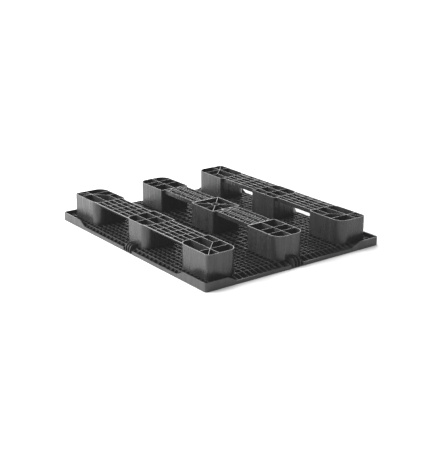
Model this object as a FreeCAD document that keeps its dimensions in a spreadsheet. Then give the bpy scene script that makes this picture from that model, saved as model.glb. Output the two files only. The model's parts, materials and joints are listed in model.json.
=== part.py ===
import FreeCAD, Part
import math
import os
import Sketcher
from FreeCAD import Placement, Rotation, Vector

# A plastic pallet lying load face down: a ribbed deck grid on the floor, nine
# hollow feet standing on it and six ribbed runner bars closing the gaps between
# the feet of each row.  X is the short side, Y runs along the runners, +Z is up.
# The origin is at floor level under the middle of the footprint.

os.makedirs("parts", exist_ok=True)
doc = FreeCAD.newDocument("plastic_pallet")

# ---------------------------------------------------------------- dimensions (mm)
DIMENSIONS = (
    ("pallet_width", 1000, "short side, along X"),
    ("pallet_length", 1200, "long side, along Y"),
    ("pallet_height", 140, "load face to runner face"),
    ("deck_corner_radius", 12, "outer corners of the deck"),
    ("lip_wall", 4.5, "thickness of the rim round the deck"),
    ("lip_high", 41, "rim height at the four corners"),
    ("lip_low", 17, "rim height along the fork entries"),
    ("rib_level", 27, "height of the deck ribs"),
    ("deck_skin", 3, "thickness of the load face between the ribs"),
    ("end_ramp_run", 56, "lead-in slope on the deck ribs at the short edges"),
    ("side_ramp_run", 30, "lead-in slope on the deck ribs at the long edges"),
    ("deck_rib", 2, "thickness of a deck rib"),
    ("end_slope_start", 384, "end rim starts to drop, from the middle"),
    ("end_slope_end", 334, "end rim has dropped, from the middle"),
    ("side_slope_start", 435, "side rim starts to drop, from the middle"),
    ("side_slope_end", 391, "side rim has dropped, from the middle"),
    ("notch_half", 35, "half width of the open notch in each rim"),
    ("notch_floor", 4, "what is left of the deck in the notch"),
    ("fin_pitch", 18, "spacing of the three fins in a notch"),
    ("fin_wall", 3.2, "thickness of a notch fin"),
    ("fin_nose", 22, "radius of the nose of a notch fin"),
    ("boss_diameter", 26, "deck boss round a foot pin"),
    ("side_inset", 43, "outer face of the side feet from the long edge"),
    ("end_inset", 44, "outer face of the end feet from the short edge"),
    ("side_foot_width", 162, "side feet, along X"),
    ("centre_foot_width", 161, "centre feet, along X"),
    ("end_foot_length", 213, "end feet, along Y"),
    ("middle_foot_length", 173, "middle feet, along Y"),
    ("foot_wall", 3, "wall of a foot"),
    ("foot_rib", 2.1, "rib inside a foot"),
    ("foot_floor", 4, "floor of a foot"),
    ("tight_corner", 7, "foot corner facing the fork openings"),
    ("nose_corner", 20, "outer end corner of a corner foot"),
    ("wide_corner", 48, "inner end corner of an end foot"),
    ("bay_corner", 42, "outer corner of a side foot beside a runner bar"),
    ("ring_radius", 19, "ring in the centre foot"),
    ("bar_width", 142, "side runner bar, along X"),
    ("bar_inset", 4, "outer edge of a side runner bar behind the face of its feet"),
    ("centre_bar_width", 124, "centre runner bar, along X"),
    ("bar_depth", 20, "runner bar, along Z"),
    ("bar_face", 3, "upright side face of a side runner bar, above its slope"),
    ("bar_end_drop", 7, "ends of a side bar below the runner face"),
    ("zigzag_drop", 4, "zigzag ribs of a centre bar below the runner face"),
    ("bar_skin", 2.5, "closed face of a runner bar, towards the forks"),
    ("bar_wall", 3, "end and inner wall of a runner bar"),
    ("bar_rail", 3.5, "outer rail of a side runner bar"),
    ("bar_rib", 2.2, "rib of a side runner bar"),
    ("band_width", 33, "one band of the centre runner bar"),
    ("band_wall", 2.2, "side wall of a band"),
    ("bar_pin", 6, "shank of a bar pin"),
    ("bar_pin_head", 12, "head of a bar pin"),
    ("bar_pin_length", 14, "shank length of a bar pin"),
    ("bar_pin_height", 7.5, "axis of a bar pin above the closed face of the bar"),
    ("foot_pin", 8, "shank of a foot pin"),
    ("foot_pin_head", 16, "head of a foot pin"),
    ("foot_pin_length", 26, "shank length of a foot pin"),
    ("pin_head_depth", 2.5, "head thickness of both pins"),
    ("bar_bore", 6.4, "bore for a bar pin"),
    ("foot_bore", 8.4, "bore for a foot pin"),
)

sheet = doc.addObject("Spreadsheet::Sheet", "Dims")
for row, (alias, value, note) in enumerate(DIMENSIONS, start=1):
    sheet.set(f"A{row}", alias)
    sheet.set(f"B{row}", str(value))
    sheet.setAlias(f"B{row}", alias)
    sheet.set(f"C{row}", note)
doc.recompute()


def dim(alias):
    """Value of one spreadsheet cell."""
    return float(sheet.get(alias))


HALF_X = dim("pallet_width") / 2
HALF_Y = dim("pallet_length") / 2
BAY_START = dim("middle_foot_length") / 2
BAY_END = HALF_Y - dim("end_inset") - dim("end_foot_length")
BAY_LENGTH = BAY_END - BAY_START
BAY_SPAN = (
    "Dims.pallet_length / 2 - Dims.end_inset - Dims.end_foot_length"
    " - Dims.middle_foot_length / 2"
)
TOP = dim("pallet_height")
FOOT_BASE = dim("rib_level")
BAR_BASE = TOP - dim("bar_depth")
PIN_HEIGHT = BAR_BASE + dim("bar_pin_height")


# ---------------------------------------------------------------- sketch helpers
def new_sketch(body, name, corner, height, angle=0):
    """Sketch on the body's XY plane, its origin at corner and at a bound height."""
    planes = {feature.Role: feature for feature in body.Origin.OriginFeatures}
    sketch = body.newObject("Sketcher::SketchObject", name)
    sketch.AttachmentSupport = [(planes["XY_Plane"], "")]
    sketch.MapMode = "FlatFace"
    turn = Rotation(Vector(0, 0, 1), angle)
    sketch.AttachmentOffset = Placement(Vector(corner[0], corner[1], 0), turn)
    sketch.setExpression(".AttachmentOffset.Base.z", height)
    return sketch


def new_section(body, name, x, y, height):
    """Sketch standing across the body, its x axis along X and its y axis up."""
    planes = {feature.Role: feature for feature in body.Origin.OriginFeatures}
    sketch = body.newObject("Sketcher::SketchObject", name)
    sketch.AttachmentSupport = [(planes["XZ_Plane"], "")]
    sketch.MapMode = "FlatFace"
    sketch.AttachmentOffset = Placement(Vector(x, 0, -y), Rotation())
    sketch.setExpression(".AttachmentOffset.Base.y", height)
    return sketch


def bind(sketch, constraint, expression):
    """Add a driving constraint and tie it to the spreadsheet."""
    index = sketch.addConstraint(constraint)
    sketch.setExpression(f"Constraints[{index}]", expression)


def draw_rounded(sketch, size, radii):
    """Rectangle from the sketch origin, with its own radius at every corner.

    size holds two and radii four expression texts; the corners go round from
    the sketch origin, first along x.
    """
    width, length = (value_of(text) for text in size)
    numbers = [value_of(text) for text in radii]
    corners = (
        (Vector(0, 0), Vector(1, 1), 1.0),
        (Vector(width, 0), Vector(-1, 1), 1.5),
        (Vector(width, length), Vector(-1, -1), 0.0),
        (Vector(0, length), Vector(1, -1), 0.5),
    )
    arcs = []
    for (corner, inward, turn), radius in zip(corners, numbers):
        circle = Part.Circle(corner + inward * radius, Vector(0, 0, 1), radius)
        start = turn * math.pi
        arcs.append(Part.ArcOfCircle(circle, start, start + math.pi / 2))
    lines = []
    for this, following in zip(arcs, arcs[1:] + arcs[:1]):
        lines.append(Part.LineSegment(this.EndPoint, following.StartPoint))
    sketch.addGeometry(arcs + lines)
    for side, direction in enumerate(("Horizontal", "Vertical") * 2):
        line = 4 + side
        sketch.addConstraint(Sketcher.Constraint("Tangent", side, 2, line, 1))
        sketch.addConstraint(Sketcher.Constraint("Tangent", line, 2, (side + 1) % 4, 1))
        sketch.addConstraint(Sketcher.Constraint(direction, line))
    sketch.addConstraint(Sketcher.Constraint("PointOnObject", 4, 1, -1))
    sketch.addConstraint(Sketcher.Constraint("PointOnObject", 7, 1, -2))
    bind(sketch, Sketcher.Constraint("DistanceX", -1, 1, 5, 1, width), size[0])
    bind(sketch, Sketcher.Constraint("DistanceY", -1, 1, 6, 1, length), size[1])
    for arc, text in enumerate(radii):
        bind(sketch, Sketcher.Constraint("Radius", arc, numbers[arc]), text)


def value_of(text):
    """Number behind an expression text of spreadsheet aliases and numbers."""
    total = 0.0
    sign = 1
    for token in text.split():
        if token in "+-":
            sign = 1 if token == "+" else -1
        elif token.startswith("Dims."):
            total += sign * dim(token[5:])
        else:
            total += sign * float(token)
    return total


def draw_boxes(sketch, boxes):
    """Axis-parallel rectangles (x, y, width, length), fixed by constraints."""
    for x, y, width, length in boxes:
        first = sketch.GeometryCount
        points = (
            Vector(x, y),
            Vector(x + width, y),
            Vector(x + width, y + length),
            Vector(x, y + length),
        )
        for start, end in zip(points, points[1:] + points[:1]):
            sketch.addGeometry(Part.LineSegment(start, end))
        rules = []
        for side in range(4):
            line = first + side
            follower = first + (side + 1) % 4
            rules.append(Sketcher.Constraint("Coincident", line, 2, follower, 1))
            rules.append(Sketcher.Constraint(("Horizontal", "Vertical")[side % 2], line))
        rules.append(Sketcher.Constraint("DistanceX", -1, 1, first, 1, x))
        rules.append(Sketcher.Constraint("DistanceY", -1, 1, first, 1, y))
        rules.append(Sketcher.Constraint("DistanceX", first, 1, first, 2, width))
        rules.append(Sketcher.Constraint("DistanceY", first + 1, 1, first + 1, 2, length))
        sketch.addConstraint(rules)


def draw_polygon(sketch, points):
    """Closed polygon with every corner fixed."""
    first = sketch.GeometryCount
    corners = [Vector(x, y) for x, y in points]
    count = len(corners)
    for start, end in zip(corners, corners[1:] + corners[:1]):
        sketch.addGeometry(Part.LineSegment(start, end))
    rules = []
    for side, corner in enumerate(corners):
        line = first + side
        rules.append(
            Sketcher.Constraint("Coincident", line, 2, first + (side + 1) % count, 1)
        )
        rules.append(Sketcher.Constraint("DistanceX", -1, 1, line, 1, corner.x))
        rules.append(Sketcher.Constraint("DistanceY", -1, 1, line, 1, corner.y))
    sketch.addConstraint(rules)


def draw_circle(sketch, centre, radius, expression):
    """Circle whose radius follows the spreadsheet."""
    index = sketch.addGeometry(Part.Circle(Vector(*centre), Vector(0, 0, 1), radius))
    sketch.addConstraint(Sketcher.Constraint("DistanceX", -1, 1, index, 3, centre[0]))
    sketch.addConstraint(Sketcher.Constraint("DistanceY", -1, 1, index, 3, centre[1]))
    bind(sketch, Sketcher.Constraint("Radius", index, radius), expression)


def pad(body, sketch, length):
    """Raise a sketch by a bound length."""
    feature = body.newObject("PartDesign::Pad", sketch.Name + "_pad")
    feature.Profile = sketch
    feature.setExpression("Length", length)
    sketch.Visibility = False
    body.Tip = feature
    return feature


def pocket(body, sketch, depth):
    """Sink a sketch downwards by a bound depth."""
    feature = body.newObject("PartDesign::Pocket", sketch.Name + "_pocket")
    feature.Profile = sketch
    feature.setExpression("Length", depth)
    sketch.Visibility = False
    body.Tip = feature
    return feature


def repeat_along_y(body, feature, pitch, count):
    """Repeat one pocket along the body's Y axis."""
    axes = {item.Role: item for item in body.Origin.OriginFeatures}
    pattern = body.newObject("PartDesign::LinearPattern", feature.Name + "_row")
    pattern.Originals = [feature]
    pattern.Direction = (axes["Y_Axis"], [""])
    pattern.Length = pitch * (count - 1)
    pattern.Occurrences = count
    body.Tip = pattern


# ---------------------------------------------------------------- pins and bores
def bore(name, position, length, alias, along_y):
    """Cylinder used as a drill, centred on position."""
    drill = doc.addObject("Part::Cylinder", name)
    drill.setExpression("Radius", f"Dims.{alias} / 2")
    drill.Height = length
    if along_y:
        start = position - Vector(0, length / 2, 0)
        drill.Placement = Placement(start, Rotation(Vector(1, 0, 0), -90))
    else:
        drill.Placement = Placement(position - Vector(0, 0, length / 2), Rotation())
    return drill


def drilled(label, body, drills):
    """The finished node: a body with its pin bores taken out."""
    tool = doc.addObject("Part::Compound", label + "_bores")
    tool.Links = drills
    node = doc.addObject("Part::Cut", label + "_drilled")
    node.Base = body
    node.Tool = tool
    node.Refine = False
    node.Label = label
    return node


def master_pin(name):
    """Upright pin: head above z = 0, shank hanging below it."""
    shank = doc.addObject("Part::Cylinder", name + "_shank")
    shank.setExpression("Radius", f"Dims.{name} / 2")
    shank.setExpression("Height", f"Dims.{name}_length")
    shank.setExpression("Placement.Base.z", f"-Dims.{name}_length")
    head = doc.addObject("Part::Cylinder", name + "_cap")
    head.setExpression("Radius", f"Dims.{name}_head / 2")
    head.setExpression("Height", "Dims.pin_head_depth")
    whole = doc.addObject("Part::MultiFuse", name + "_master")
    whole.Shapes = [shank, head]
    return whole


# ---------------------------------------------------------------- feet
def mirrored_radii(radii, flip_x, flip_y):
    """Corner radii of a foot once it is mirrored."""
    near_left, near_right, far_right, far_left = radii
    if flip_x:
        near_left, near_right = near_right, near_left
        far_left, far_right = far_right, far_left
    if flip_y:
        near_left, far_left = far_left, near_left
        near_right, far_right = far_right, near_right
    return near_left, near_right, far_right, far_left


def mirrored_point(point, size, flip_x, flip_y):
    """Point of a foot or bar once it is mirrored inside its own rectangle."""
    x, y = point
    return (size[0] - x if flip_x else x, size[1] - y if flip_y else y)


def draw_strip(sketch, length, thickness):
    """Rectangle along the sketch's x axis, as thick as a bound value."""
    half = value_of(thickness) / 2
    points = (
        Vector(0, -half),
        Vector(length, -half),
        Vector(length, half),
        Vector(0, half),
    )
    for start, end in zip(points, points[1:] + points[:1]):
        sketch.addGeometry(Part.LineSegment(start, end))
    for side in range(4):
        follower = (side + 1) % 4
        sketch.addConstraint(Sketcher.Constraint("Coincident", side, 2, follower, 1))
    for side, direction in enumerate(("Horizontal", "Vertical", "Horizontal")):
        sketch.addConstraint(Sketcher.Constraint(direction, side))
    sketch.addConstraint(Sketcher.Constraint("PointOnObject", 0, 1, -2))
    sketch.addConstraint(Sketcher.Constraint("Symmetric", 3, 1, 3, 2, -1))
    sketch.addConstraint(Sketcher.Constraint("DistanceX", -1, 1, 1, 1, length))
    bind(sketch, Sketcher.Constraint("DistanceY", 1, 1, 1, 2, 2 * half), thickness)


FOOT_KINDS = {
    "corner": {
        "size": ("Dims.side_foot_width", "Dims.end_foot_length"),
        "radii": ("nose_corner", "wide_corner", "tight_corner", "bay_corner"),
        "ribs": (
            ((61, 2), (61, 211)),
            ((120, 125), (120, 211)),
            ((2, 66.5), (160, 66.5)),
            ((120, 125), (160, 125)),
            ((7.5, 7.5), (61, 66.5)),
            ((61, 66.5), (120, 125)),
        ),
        "pins": ((34, 136), (92, 161)),
    },
    "centre_end": {
        "size": ("Dims.centre_foot_width", "Dims.end_foot_length"),
        "radii": ("wide_corner", "wide_corner", "tight_corner", "tight_corner"),
        "ribs": (
            ((80.5, 2), (80.5, 211)),
            ((2, 66.5), (159, 66.5)),
            ((2, 125), (159, 125)),
        ),
        "post": (63, 90),
        "pins": ((41, 168), (120, 168)),
    },
    "side_middle": {
        "size": ("Dims.side_foot_width", "Dims.middle_foot_length"),
        "radii": ("bay_corner", "tight_corner", "tight_corner", "bay_corner"),
        "ribs": (
            ((61, 2), (61, 171)),
            ((120, 2), (120, 171)),
            ((2, 86.5), (160, 86.5)),
        ),
        "pins": ((93, 45.5), (93, 127.5)),
    },
    "centre_middle": {
        "size": ("Dims.centre_foot_width", "Dims.middle_foot_length"),
        "radii": ("tight_corner", "tight_corner", "tight_corner", "tight_corner"),
        "ribs": (
            ((4, 4.4), (67.6, 72.7)),
            ((157, 4.4), (93.4, 72.7)),
            ((157, 168.6), (93.4, 100.3)),
            ((4, 168.6), (67.6, 100.3)),
        ),
        "low_ribs": (
            ((80.5, 2), (80.5, 67.5)),
            ((80.5, 105.5), (80.5, 171)),
            ((2, 86.5), (61.5, 86.5)),
            ((99.5, 86.5), (159, 86.5)),
        ),
        "ring": (80.5, 86.5),
        "pins": ((29, 60.5), (132, 112.5)),
    },
}


def make_foot(label, kind_name, corner, flip_x, flip_y):
    """Hollow foot: rounded shell open at the top, closed floor, inner ribs."""
    kind = FOOT_KINDS[kind_name]
    size = [value_of(text) for text in kind["size"]]
    radii = mirrored_radii(kind["radii"], flip_x, flip_y)
    wall = dim("foot_wall")
    body = doc.addObject("PartDesign::Body", label + "_body")

    outline = new_sketch(body, label + "_outline", corner, "Dims.rib_level")
    draw_rounded(outline, kind["size"], [f"Dims.{name}" for name in radii])
    pad(body, outline, "Dims.pallet_height - Dims.rib_level")

    inside = (corner[0] + wall, corner[1] + wall)
    cavity = new_sketch(body, label + "_cavity", inside, "Dims.pallet_height")
    inner_size = [f"{text} - Dims.foot_wall - Dims.foot_wall" for text in kind["size"]]
    draw_rounded(cavity, inner_size, [f"Dims.{name} - Dims.foot_wall" for name in radii])
    pocket(body, cavity, "Dims.pallet_height - Dims.rib_level - Dims.foot_floor")

    full = "Dims.pallet_height - Dims.rib_level - 1"
    groups = ((kind["ribs"], full), (kind.get("low_ribs", ()), full + " - 8"))
    number = 0
    for ribs, height in groups:
        for ends in ribs:
            number += 1
            start, end = (mirrored_point(p, size, flip_x, flip_y) for p in ends)
            along = Vector(end[0] - start[0], end[1] - start[1])
            angle = math.degrees(math.atan2(along.y, along.x))
            origin = (corner[0] + start[0], corner[1] + start[1])
            name = f"{label}_rib{number}"
            sketch = new_sketch(body, name, origin, "Dims.rib_level + 1", angle)
            draw_strip(sketch, along.Length, "Dims.foot_rib")
            pad(body, sketch, height)

    if "post" in kind:
        centre = mirrored_point(kind["post"], size, flip_x, flip_y)
        sketch = new_sketch(body, label + "_post", corner, "Dims.rib_level + 1")
        draw_circle(sketch, centre, value_of("Dims.foot_rib"), "Dims.foot_rib")
        pad(body, sketch, full)
    if "ring" in kind:
        half_wall = dim("foot_rib") / 2
        sketch = new_sketch(body, label + "_ring", corner, "Dims.rib_level + 1")
        for offset, sign in ((half_wall, "+"), (-half_wall, "-")):
            text = f"Dims.ring_radius {sign} Dims.foot_rib / 2"
            draw_circle(sketch, kind["ring"], dim("ring_radius") + offset, text)
        pad(body, sketch, full)

    pins = []
    for point in kind["pins"]:
        x, y = mirrored_point(point, size, flip_x, flip_y)
        pins.append(Vector(corner[0] + x, corner[1] + y, FOOT_BASE))
    return body, pins


# ---------------------------------------------------------------- runner bars
# Lengthwise ribs and pins of a side bar, from its outer edge.
SIDE_BAR_RIBS = (27.5, 56.3, 86.3, 115.7)
SIDE_BAR_PINS = (42, 101)
SIDE_BAR_ROWS = 4
CENTRE_BAR_CELLS = 6


def lower(body, label, corner, boxes, drop):
    """Stop what lies inside the boxes short of the runner face."""
    sketch = new_sketch(body, label + "_lowered", corner, "Dims.pallet_height")
    draw_boxes(sketch, boxes)
    pocket(body, sketch, drop)


def make_side_bar(label, corner, flip_x):
    """Ribbed bar between two side feet, its outer side sloping inwards below.

    Ears at its ends fill the gaps beside the rounded corners of the feet.
    Heights in the sections are measured from the closed face of the bar.
    """
    width = dim("bar_width")
    depth = dim("bar_depth")
    skin = dim("bar_skin")
    rail, rib, wall = dim("bar_rail"), dim("bar_rib"), dim("bar_wall")
    slope = depth - dim("bar_face")
    shoulder = dim("bay_corner")
    ear = shoulder - dim("bar_inset")
    floor = "Dims.pallet_height - Dims.bar_depth"
    body = doc.addObject("PartDesign::Body", label + "_body")

    def placed(points):
        return [(width - x if flip_x else x, z) for x, z in points]

    outer_edge = [(0, depth), (0, slope), (slope, 0)]
    section = new_section(body, label + "_section", *corner, floor)
    draw_polygon(section, placed([*outer_edge, (width, 0), (width, depth)]))
    pad(body, section, BAY_SPAN).Reversed = True

    ears = new_section(body, label + "_ears", corner[0], corner[1] - shoulder, floor)
    draw_polygon(ears, placed([*outer_edge, (ear, 0), (ear, depth)]))
    pad(body, ears, f"{BAY_SPAN} + 2 * Dims.bay_corner").Reversed = True

    fit = new_sketch(body, label + "_fit", corner, "Dims.pallet_height")
    centre_x = width - ear if flip_x else ear
    for centre_y in (-shoulder, BAY_LENGTH + shoulder):
        draw_circle(fit, (centre_x, centre_y), shoulder, "Dims.bay_corner")
    pocket(body, fit, "Dims.bar_depth")

    starts = [rail] + [at + rib / 2 for at in SIDE_BAR_RIBS]
    ends = [at - rib / 2 for at in SIDE_BAR_RIBS] + [width - wall]
    inner_slope = slope + skin * math.sqrt(2)
    above = depth + 1
    cells = new_section(body, label + "_cells", corner[0], corner[1] + wall, floor)
    for start, end in zip(starts, ends):
        outline = [(start, above), (start, skin), (end, skin), (end, above)]
        if start == starts[0]:
            outline[1:2] = [(start, inner_slope - start), (inner_slope - skin, skin)]
        draw_polygon(cells, placed(outline))
    pitch = (BAY_LENGTH - 2 * wall + rib) / SIDE_BAR_ROWS
    first_row = body.newObject("PartDesign::Pocket", label + "_first_cells")
    first_row.Profile = cells
    first_row.Length = pitch - rib
    cells.Visibility = False
    repeat_along_y(body, first_row, pitch, SIDE_BAR_ROWS)

    start = wall if flip_x else rail
    span = width - wall - rail
    end = shoulder + wall
    low_ends = [(start, y, span, end) for y in (-shoulder, BAY_LENGTH - wall)]
    lower(body, label, corner, low_ends, "Dims.bar_end_drop")
    return body


def make_centre_bar(label, corner):
    """Centre bar: three zigzag-ribbed bands with a long slot between them."""
    width = dim("centre_bar_width")
    band = dim("band_width")
    side, wall = dim("band_wall"), dim("bar_wall")
    slot = (width - 3 * band) / 2
    body = doc.addObject("PartDesign::Body", label + "_body")

    slab = new_sketch(body, label + "_slab", corner, "Dims.pallet_height - Dims.bar_depth")
    draw_boxes(slab, [(0, 0, width, BAY_LENGTH)])
    pad(body, slab, "Dims.bar_depth")

    slots = new_sketch(body, label + "_slots", corner, "Dims.pallet_height")
    length = BAY_LENGTH - 2 * wall
    draw_boxes(slots, [(band, wall, slot, length), (2 * band + slot, wall, slot, length)])
    pocket(body, slots, "Dims.bar_depth - Dims.bar_skin")

    count = CENTRE_BAR_CELLS
    pitch = length / count
    margin = 1.1
    reach = (band - 2 * side) * (1 - 2 * margin / pitch)
    for name, offset, repeats in (("left", 0, count), ("right", pitch / 2, count - 1)):
        sketch = new_sketch(body, f"{label}_{name}", corner, "Dims.pallet_height")
        low = wall + offset + margin
        high = wall + offset + pitch - margin
        for index in range(3):
            foot = index * (band + slot) + side
            tip = foot + reach
            if name == "right":
                foot = index * (band + slot) + band - side
                tip = foot - reach
            draw_polygon(sketch, ((foot, low), (tip, (low + high) / 2), (foot, high)))
        cells = pocket(body, sketch, "Dims.bar_depth - Dims.bar_skin")
        repeat_along_y(body, cells, pitch, repeats)
    starts = [index * (band + slot) + side for index in range(3)]
    boxes = [(x, 0, band - 2 * side, BAY_LENGTH) for x in starts]
    lower(body, label, corner, boxes, "Dims.zigzag_drop")
    return body


# ---------------------------------------------------------------- deck
RIBS_X = (38, 75, 108, 134.5, 161, 187.5, 214, 240.5, 267, 300, 327, 354, 381, 405, 429, 455, 476)
RIBS_Y = (
    37, 69, 102, 133, 168, 200, 237, 268, 301, 335,
    360, 387, 417, 447, 474, 496, 520, 549,
)


def both_sides(offsets, edge):
    """Rib centres on both sides of the middle, with the rim's inner face."""
    return [-edge, *(-at for at in reversed(offsets)), 0, *offsets, edge]


def spans(lines):
    """Clear gaps between neighbouring ribs; the rim has no rib of its own."""
    half = dim("deck_rib") / 2
    last = len(lines) - 2
    result = []
    for index, (start, end) in enumerate(zip(lines, lines[1:])):
        low = start if index == 0 else start + half
        high = end if index == last else end - half
        result.append((low, high))
    return result


def under_foot(x, y):
    """Whether a point of the deck lies below one of the nine feet."""
    side_end = HALF_X - dim("side_inset")
    in_column = x < dim("centre_foot_width") / 2 or side_end - dim("side_foot_width") < x < side_end
    in_row = y < BAY_START or BAY_END < y < HALF_Y - dim("end_inset")
    return in_column and in_row


def deck_lattice():
    """Load face with crossing ribs on it, built one row of cells at a time.

    Every second cell goes right through, except under a foot and next to the rim.
    """
    wall = dim("lip_wall")
    lines_x = both_sides(RIBS_X, HALF_X - wall)
    lines_y = both_sides(RIBS_Y, HALF_Y - wall)
    edges = [-HALF_X, *lines_x[1:-1], HALF_X]
    gaps_x = spans(lines_x)
    gaps_y = spans(lines_y)
    strips = []
    for column, (low, high) in enumerate(zip(edges, edges[1:])):
        strip = Part.makeBox(high - low, 2 * HALF_Y, FOOT_BASE, Vector(low, -HALF_Y, 0))
        start, end = gaps_x[column]
        from_side = min(column, len(gaps_x) - 1 - column)
        cells = []
        for row, (front, rear) in enumerate(gaps_y):
            from_end = min(row, len(gaps_y) - 1 - row)
            covered = under_foot(abs(start + end) / 2, abs(front + rear) / 2)
            closed = covered or min(from_side, from_end) < 2 or (from_side + from_end) % 2
            floor = dim("deck_skin") if closed else -1
            corner = Vector(start, front, floor)
            cells.append(Part.makeBox(end - start, rear - front, FOOT_BASE - floor + 1, corner))
        strips.append(strip.cut(cells))
    return strips[0].multiFuse(strips[1:])


def rounded_block(shrink, bottom, top):
    """Upright block over the footprint with rounded corners."""
    x, y = HALF_X - shrink, HALF_Y - shrink
    block = Part.makeBox(2 * x, 2 * y, top - bottom, Vector(-x, -y, bottom))
    uprights = [e for e in block.Edges if abs(e.tangentAt(e.FirstParameter).z) > 0.9]
    return block.makeFillet(dim("deck_corner_radius") - shrink, uprights)


def prism(points, direction):
    """Solid swept from a closed outline."""
    return Part.Face(Part.makePolygon([*points, points[0]])).extrude(direction)


def edge_tools(edge, half_length, slope_start, slope_end, inset, run):
    """Cutters and fins for the rim at y = -edge, before it is turned round."""
    low, high = dim("lip_low"), dim("lip_high")
    above = high + 10
    profile = (
        Vector(-half_length, -edge - 5, low),
        Vector(-half_length, -edge + dim("lip_wall"), low),
        Vector(-half_length, -edge + run, FOOT_BASE),
        Vector(-half_length, -edge + run, above),
        Vector(-half_length, -edge - 5, above),
    )
    ramp = prism(profile, Vector(2 * half_length, 0, 0))
    side = -edge - 5
    opening = prism(
        (
            Vector(-slope_start, side, high),
            Vector(-slope_end, side, low),
            Vector(slope_end, side, low),
            Vector(slope_start, side, high),
            Vector(slope_start, side, above),
            Vector(-slope_start, side, above),
        ),
        Vector(0, run + 5, 0),
    )
    half = dim("notch_half")
    floor = dim("notch_floor")
    notch = Part.makeBox(2 * half, inset + 5, above, Vector(-half, side, floor))

    nose, wall = dim("fin_nose"), dim("fin_wall")
    fins = []
    for step in (-1, 0, 1):
        x = step * dim("fin_pitch") - wall / 2
        arc = Part.Arc(
            Vector(x, -edge, high - nose),
            Vector(x, -edge + nose * (1 - math.sqrt(0.5)), high - nose * (1 - math.sqrt(0.5))),
            Vector(x, -edge + nose, high),
        ).toShape()
        rest = Part.makePolygon(
            [
                Vector(x, -edge + nose, high),
                Vector(x, -edge + inset, high),
                Vector(x, -edge + inset, 0),
                Vector(x, -edge, 0),
                Vector(x, -edge, high - nose),
            ]
        )
        outline = Part.Wire([arc, *rest.Edges])
        fins.append(Part.Face(outline).extrude(Vector(wall, 0, 0)))
    return [ramp.common(opening), notch], fins


def make_deck(pins):
    """Deck moulding: lattice, rim, lead-in slopes, notches, fins and bosses."""
    wall = dim("lip_wall")
    lattice = deck_lattice().common(rounded_block(0, -1, FOOT_BASE + 1))
    rim = rounded_block(0, FOOT_BASE, dim("lip_high"))
    rim = rim.cut(rounded_block(wall, FOOT_BASE - 1, dim("lip_high") + 1))
    cutters = []
    additions = []
    names = ("slope_start", "slope_end", "inset", "ramp_run")
    end = [HALF_Y, HALF_X, *(dim("end_" + name) for name in names)]
    flank = [HALF_X, HALF_Y, *(dim("side_" + name) for name in names)]
    for turn, sizes in ((0, end), (90, flank), (180, end), (270, flank)):
        tools, fins = edge_tools(*sizes)
        for shape in tools + fins:
            shape.rotate(Vector(0, 0, 0), Vector(0, 0, 1), turn)
        cutters += tools
        additions += fins
    radius = dim("boss_diameter") / 2
    for pin in pins:
        additions.append(Part.makeCylinder(radius, FOOT_BASE, Vector(pin.x, pin.y, 0)))
    return lattice.fuse(rim).cut(cutters).fuse(additions)


# ---------------------------------------------------------------- assembly
foot_pin = master_pin("foot_pin")
bar_pin = master_pin("bar_pin")
doc.recompute()

side_x = -HALF_X + dim("side_inset")
side_width = dim("side_foot_width")
centre_x = -dim("centre_foot_width") / 2
end_y = -HALF_Y + dim("end_inset")
end_length = dim("end_foot_length")

COLUMNS = (
    ("left", side_x, False),
    ("centre", centre_x, False),
    ("right", -side_x - side_width, True),
)
ROWS = (
    ("front", end_y, False),
    ("middle", -BAY_START, False),
    ("rear", -end_y - end_length, True),
)
BAYS = (("front", -BAY_END), ("rear", BAY_START))

nodes = []
deck_pins = []
deck_drills = []
for column, foot_x, flip_x in COLUMNS:
    sided = column != "centre"
    floor_pins = []
    cross_pins = []
    drills = {"front": [], "middle": [], "rear": []}

    for bay, start_y in BAYS:
        label = f"runner_{column}_{bay}"
        if sided:
            inset = dim("bar_inset")
            mirrored_x = foot_x + side_width - inset - dim("bar_width")
            bar_x = mirrored_x if flip_x else foot_x + inset
            bar = make_side_bar(label, (bar_x, start_y), flip_x)
            offsets = [dim("bar_width") - x if flip_x else x for x in SIDE_BAR_PINS]
        else:
            bar_x = -dim("centre_bar_width") / 2
            bar = make_centre_bar(label, (bar_x, start_y))
            offsets = [dim("band_width") / 2, dim("centre_bar_width") - dim("band_width") / 2]
        bar_drills = []
        for face_y, outward in ((start_y, -1), (start_y + BAY_LENGTH, 1)):
            near_end = (outward < 0) == (bay == "front")
            foot_row = bay if near_end else "middle"
            for offset in offsets:
                at = Vector(bar_x + offset, face_y, PIN_HEIGHT)
                name = f"{label}_bore{len(bar_drills)}"
                drill = bore(name, at, 26, "bar_bore", True)
                bar_drills.append(drill)
                drills[foot_row].append(drill)
                seat = at + Vector(0, outward * dim("foot_wall"), 0)
                turn = Rotation(Vector(1, 0, 0), -90 * outward)
                cross_pins.append(Placement(seat, turn))
        nodes.append(drilled(label, bar, bar_drills))

    for row, foot_y, flip_y in ROWS:
        label = f"foot_{column}_{row}"
        if row == "middle":
            kind_name = "side_middle" if sided else "centre_middle"
        else:
            kind_name = "corner" if sided else "centre_end"
        body, pins = make_foot(label, kind_name, (foot_x, foot_y), flip_x, flip_y)
        foot_drills = list(drills[row])
        for index, pin in enumerate(pins):
            drill = bore(f"{label}_floor{index}", pin, 70, "foot_bore", False)
            foot_drills.append(drill)
            deck_drills.append(drill)
            floor_pins.append(Placement(pin + Vector(0, 0, dim("foot_floor")), Rotation()))
        deck_pins += pins
        nodes.append(drilled(label, body, foot_drills))

    for label, master, places in (
        (f"foot_pins_{column}", foot_pin, floor_pins),
        (f"runner_pins_{column}", bar_pin, cross_pins),
    ):
        copies = []
        for place in places:
            copy = master.Shape.copy()
            copy.Placement = place
            copies.append(copy)
        group = doc.addObject("Part::Feature", label)
        group.Shape = Part.makeCompound(copies)
        group.Label = label
        nodes.append(group)

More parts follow.
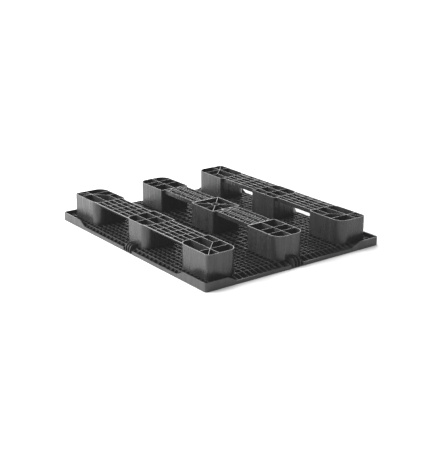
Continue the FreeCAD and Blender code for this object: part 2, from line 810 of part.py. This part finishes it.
moulding = doc.addObject("Part::Feature", "deck_moulding")
moulding.Shape = make_deck(deck_pins)
nodes.append(drilled("deck_grid", moulding, deck_drills))

doc.recompute()
for item in doc.Objects:
    if "Invalid" in item.State or "Error" in item.State:
        raise RuntimeError(f"{item.Label} did not build: {item.State}")
for node in nodes:
    if node.Shape.isNull() or not node.Shape.isValid():
        raise RuntimeError(f"{node.Label} has no valid shape")
    node.Shape.exportStep(f"parts/{node.Label}.step")
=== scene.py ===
import json
import math

import bpy
from mathutils import Matrix, Vector


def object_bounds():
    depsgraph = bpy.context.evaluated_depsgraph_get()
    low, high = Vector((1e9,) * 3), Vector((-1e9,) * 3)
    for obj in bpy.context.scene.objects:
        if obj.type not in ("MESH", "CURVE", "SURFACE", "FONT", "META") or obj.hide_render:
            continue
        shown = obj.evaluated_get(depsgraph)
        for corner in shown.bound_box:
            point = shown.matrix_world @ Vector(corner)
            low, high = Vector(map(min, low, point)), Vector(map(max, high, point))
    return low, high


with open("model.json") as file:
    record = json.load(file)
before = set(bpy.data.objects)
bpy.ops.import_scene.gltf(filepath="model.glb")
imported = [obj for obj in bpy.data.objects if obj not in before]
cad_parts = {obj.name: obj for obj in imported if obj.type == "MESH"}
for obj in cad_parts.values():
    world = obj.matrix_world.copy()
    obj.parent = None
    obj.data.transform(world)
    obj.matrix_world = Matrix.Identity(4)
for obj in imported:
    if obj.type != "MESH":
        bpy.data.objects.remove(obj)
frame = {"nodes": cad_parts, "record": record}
cad_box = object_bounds()


# ---------------------------------------------------------------- node helpers
class Graph:
    """Builds one material's node tree; its methods return output sockets."""

    def __init__(self, name):
        self.material = bpy.data.materials.new(name)
        self.material.use_nodes = True
        self.tree = self.material.node_tree
        self.shader = self.tree.nodes["Principled BSDF"]

    def node(self, kind, **settings):
        made = self.tree.nodes.new(kind)
        for key, value in settings.items():
            setattr(made, key, value)
        return made

    def feed(self, socket, value):
        """Links a socket, or sets a plain number or colour."""
        if isinstance(value, bpy.types.NodeSocket):
            self.tree.links.new(value, socket)
        else:
            socket.default_value = value

    def math(self, operation, *values):
        made = self.node("ShaderNodeMath", operation=operation)
        for socket, value in zip(made.inputs, values):
            self.feed(socket, value)
        return made.outputs[0]

    def ramp(self, value, low, high, start=0.0, end=1.0):
        """Carries the range low..high over to start..end, eased and clamped."""
        made = self.node("ShaderNodeMapRange", interpolation_type="SMOOTHSTEP")
        for socket, number in zip(made.inputs, (value, low, high, start, end)):
            self.feed(socket, number)
        return made.outputs[0]

    def noise(self, stretch, detail=4.0, roughness=0.55, distortion=0.0):
        """Noise whose features are 1 / stretch metres long on each axis."""
        where = self.node("ShaderNodeTexCoord").outputs["Object"]
        scaled = self.node("ShaderNodeMapping")
        self.feed(scaled.inputs["Vector"], where)
        scaled.inputs["Scale"].default_value = stretch
        made = self.node("ShaderNodeTexNoise")
        self.feed(made.inputs["Vector"], scaled.outputs[0])
        made.inputs["Scale"].default_value = 1.0
        made.inputs["Detail"].default_value = detail
        made.inputs["Roughness"].default_value = roughness
        made.inputs["Distortion"].default_value = distortion
        return made.outputs["Fac"]

    def mix(self, factor, first, second):
        made = self.node("ShaderNodeMix", data_type="RGBA")
        colours = [socket for socket in made.inputs if socket.type == "RGBA"]
        self.feed(made.inputs[0], factor)
        self.feed(colours[0], first)
        self.feed(colours[1], second)
        return next(socket for socket in made.outputs if socket.type == "RGBA")

    def bump(self, height, distance, strength, normal):
        made = self.node("ShaderNodeBump")
        made.inputs["Strength"].default_value = strength
        made.inputs["Distance"].default_value = distance
        self.feed(made.inputs["Height"], height)
        self.feed(made.inputs["Normal"], normal)
        return made.outputs[0]


def grey(level, warmth=0.0):
    """A grey with a slight warm or cool cast."""
    return (level * (1 + warmth), level, level * (1 - warmth), 1.0)


# ---------------------------------------------------------------- plastic
DUST_COLOUR = grey(0.11, 0.04)
# Lighter grey for rubbed edges, which also paints a highlight along every edge.
RUBBED_AND_HIGHLIGHT_COLOUR = grey(0.16)


def moulded_plastic(name, base, roughness, streaks, wear_and_highlight, edge_radius):
    """Black injection-moulded plastic: draw streaks down the walls, flow clouds,
    a fine grain, rubbed edges with a painted highlight along them, scuffs and a little dust
    on what faces up.

    base is the grey level, streaks and wear run from 0 to 1, edge_radius is in metres."""
    g = Graph(name)
    geometry = g.node("ShaderNodeNewGeometry")
    parts = g.node("ShaderNodeSeparateXYZ")
    g.feed(parts.inputs[0], geometry.outputs["Normal"])
    upward = parts.outputs["Z"]
    wall = g.ramp(g.math("ABSOLUTE", upward), 0.7, 0.3)
    top = g.ramp(upward, 0.6, 0.95)

    broad = g.ramp(g.noise((34, 34, 1.6), detail=4.0, distortion=0.3), 0.40, 0.64)
    fine = g.ramp(g.noise((120, 120, 3.0), detail=5.0, roughness=0.65), 0.38, 0.66)
    streak = g.math("MULTIPLY_ADD", broad, 0.6, g.math("MULTIPLY", fine, 0.4))
    streak = g.math("MULTIPLY", streak, wall)
    cloud = g.ramp(g.noise((7, 7, 7), detail=5.0, distortion=0.6), 0.3, 0.72)
    grain = g.noise((520, 520, 520), detail=3.0, roughness=0.6)

    across = g.ramp(g.noise((900, 14, 14), detail=2.0), 0.66, 0.74)
    along = g.ramp(g.noise((14, 900, 14), detail=2.0), 0.66, 0.74)
    scuff = g.math("MULTIPLY", g.math("MAXIMUM", across, along), top)

    bevel = g.node("ShaderNodeBevel", samples=4)
    bevel.inputs["Radius"].default_value = edge_radius
    facing = g.node("ShaderNodeVectorMath", operation="DOT_PRODUCT")
    g.feed(facing.inputs[0], bevel.outputs[0])
    g.feed(facing.inputs[1], geometry.outputs["True Normal"])
    edge = g.ramp(facing.outputs["Value"], 0.995, 0.86)
    patchy = g.ramp(g.noise((38, 38, 38)), 0.35, 0.65)
    # Edge mask: rubbed wear plus a painted highlight along every edge.
    rubbed_and_highlight = g.math("MULTIPLY", edge, g.math("MULTIPLY_ADD", patchy, 0.6, 0.4))
    rubbed_and_highlight = g.math("MULTIPLY", rubbed_and_highlight, wear_and_highlight)

    dust = g.ramp(g.noise((60, 60, 60), detail=6.0, roughness=0.7), 0.45, 0.8)
    dust = g.math("MULTIPLY", g.math("MULTIPLY", dust, top), 0.35)

    colour = g.mix(cloud, grey(base * 0.75, 0.01), grey(base * 1.3, -0.01))
    colour = g.mix(g.math("MULTIPLY", streak, streaks), colour, grey(base * 2.4))
    colour = g.mix(g.math("MULTIPLY", scuff, 0.5), colour, grey(base * 4.0))
    colour = g.mix(dust, colour, DUST_COLOUR)
    colour = g.mix(rubbed_and_highlight, colour, RUBBED_AND_HIGHLIGHT_COLOUR)
    g.feed(g.shader.inputs["Base Color"], colour)

    rough = g.math("MULTIPLY_ADD", streak, -0.14, roughness)
    rough = g.math("MULTIPLY_ADD", cloud, 0.1, rough)
    rough = g.math("MULTIPLY_ADD", grain, 0.08, rough)
    rough = g.math("MULTIPLY_ADD", dust, 0.5, rough)
    rough = g.math("MULTIPLY_ADD", scuff, 0.15, rough)
    g.feed(g.shader.inputs["Roughness"], rough)
    g.shader.inputs["IOR"].default_value = 1.5

    relief = g.bump(grain, 0.00025, 0.5, bevel.outputs[0])
    relief = g.bump(streak, 0.0017, 0.5, relief)
    relief = g.bump(scuff, 0.0004, 0.4, relief)
    g.feed(g.shader.inputs["Normal"], relief)
    return g.material


PLASTICS = {
    "deck_plastic": moulded_plastic(
        "deck_black", base=0.015, roughness=0.34, streaks=0.5, wear_and_highlight=0.2, edge_radius=0.0007
    ),
    "foot_plastic": moulded_plastic(
        "foot_black", base=0.013, roughness=0.23, streaks=0.8, wear_and_highlight=0.4, edge_radius=0.0008
    ),
    "runner_plastic": moulded_plastic(
        "runner_black", base=0.013, roughness=0.20, streaks=0.5, wear_and_highlight=0.3, edge_radius=0.0007
    ),
    "pin_plastic": moulded_plastic(
        "pin_black", base=0.014, roughness=0.24, streaks=0.2, wear_and_highlight=0.4, edge_radius=0.0006
    ),
}

slot_of = {part["node"]: part["material_slot"] for part in frame["record"]["subparts"]}
for node_name, shown in frame["nodes"].items():
    plastic = PLASTICS[slot_of[node_name]]
    if not shown.material_slots:
        shown.data.materials.append(plastic)
    for material_slot in shown.material_slots:
        material_slot.material = plastic


# ---------------------------------------------------------------- floor and light
def plain_material(name, level, roughness):
    material = bpy.data.materials.new(name)
    material.use_nodes = True
    shader = material.node_tree.nodes["Principled BSDF"]
    shader.inputs["Base Color"].default_value = grey(level)
    shader.inputs["Roughness"].default_value = roughness
    shader.inputs["Specular IOR Level"].default_value = 0.4
    return material


HALF_FLOOR = 40.0
FLOOR_GAP = 0.0002  # keeps the floor and the load face off one plane
floor_height = cad_box[0][2] - FLOOR_GAP
floor_mesh = bpy.data.meshes.new("floor")
corners = [(-1, -1), (1, -1), (1, 1), (-1, 1)]
floor_mesh.from_pydata(
    [(x * HALF_FLOOR, y * HALF_FLOOR, floor_height) for x, y in corners],
    [],
    [(0, 1, 2, 3)],
)
floor = bpy.data.objects.new("floor", floor_mesh)
floor.data.materials.append(plain_material("pale_floor", 0.88, 0.55))
bpy.context.scene.collection.objects.link(floor)


def aim(place, target):
    """Rotation that looks from place to target."""
    return (Vector(target) - Vector(place)).to_track_quat("-Z", "Y")


LIT_POINT = (0, 0, 0.05)


def softbox(name, place, size, watts):
    light = bpy.data.lights.new(name, "AREA")
    light.shape = "RECTANGLE"
    light.size, light.size_y = size
    light.energy = watts
    holder = bpy.data.objects.new(name, light)
    holder.location = place
    holder.rotation_mode = "QUATERNION"
    holder.rotation_quaternion = aim(place, LIT_POINT)
    bpy.context.scene.collection.objects.link(holder)


softbox("side_light", place=(-2.8, 1.6, 1.7), size=(2.6, 2.2), watts=210)
softbox("back_light", place=(2.2, 3.4, 1.9), size=(3.6, 2.0), watts=80)

BRIGHT_SIDE = (-0.35, 0.94, 0.0)  # behind the pallet and to its left
DIM_STRENGTH = 0.3
BRIGHT_STRENGTH = 2.0


def studio_world():
    """Backdrop that brightens with how far a direction turns to the bright side."""
    world = bpy.data.worlds.new("studio")
    world.use_nodes = True
    tree = world.node_tree
    backdrop = tree.nodes["Background"]
    backdrop.inputs["Color"].default_value = grey(1.0)
    direction = tree.nodes.new("ShaderNodeTexCoord")
    turned = tree.nodes.new("ShaderNodeVectorMath")
    turned.operation = "DOT_PRODUCT"
    turned.inputs[1].default_value = BRIGHT_SIDE
    brightness = tree.nodes.new("ShaderNodeMapRange")
    brightness.interpolation_type = "SMOOTHSTEP"
    span = (-0.7, 0.5, DIM_STRENGTH, BRIGHT_STRENGTH)
    for socket, number in zip(brightness.inputs[1:5], span):
        socket.default_value = number
    tree.links.new(direction.outputs["Generated"], turned.inputs[0])
    tree.links.new(turned.outputs["Value"], brightness.inputs[0])
    tree.links.new(brightness.outputs[0], backdrop.inputs["Strength"])
    return world


bpy.context.scene.world = studio_world()

# A trace of lens haze keeps the deepest blacks just above zero.
HAZE = 0.012
view = bpy.context.scene.view_settings
view.view_transform = "Standard"
view.use_curve_mapping = True
view.curve_mapping.black_level = (-HAZE, -HAZE, -HAZE)
view.curve_mapping.update()

# ---------------------------------------------------------------- camera
AZIMUTH = math.radians(37.28)
ELEVATION = math.radians(18.73)
ROLL = math.radians(0.364)
DISTANCE = 4.7624
LENS_MM = 77.16
SENSOR_MM = 36.0
AIM_POINT = Vector((0.0092, -0.0251, 0.0136))

camera_data = bpy.data.cameras.new("camera")
camera_data.sensor_width = SENSOR_MM
camera_data.lens = LENS_MM
camera_data.clip_end = 5 * HALF_FLOOR
camera = bpy.data.objects.new("camera", camera_data)
forward = Vector(
    (
        math.cos(ELEVATION) * math.sin(AZIMUTH),
        math.cos(ELEVATION) * math.cos(AZIMUTH),
        -math.sin(ELEVATION),
    )
)
level = forward.to_track_quat("-Z", "Y").to_matrix().to_4x4()
tilt = Matrix.Rotation(ROLL, 4, "Z")
camera.matrix_world = Matrix.Translation(AIM_POINT - forward * DISTANCE) @ level @ tilt
bpy.context.scene.collection.objects.link(camera)
bpy.context.scene.camera = camera
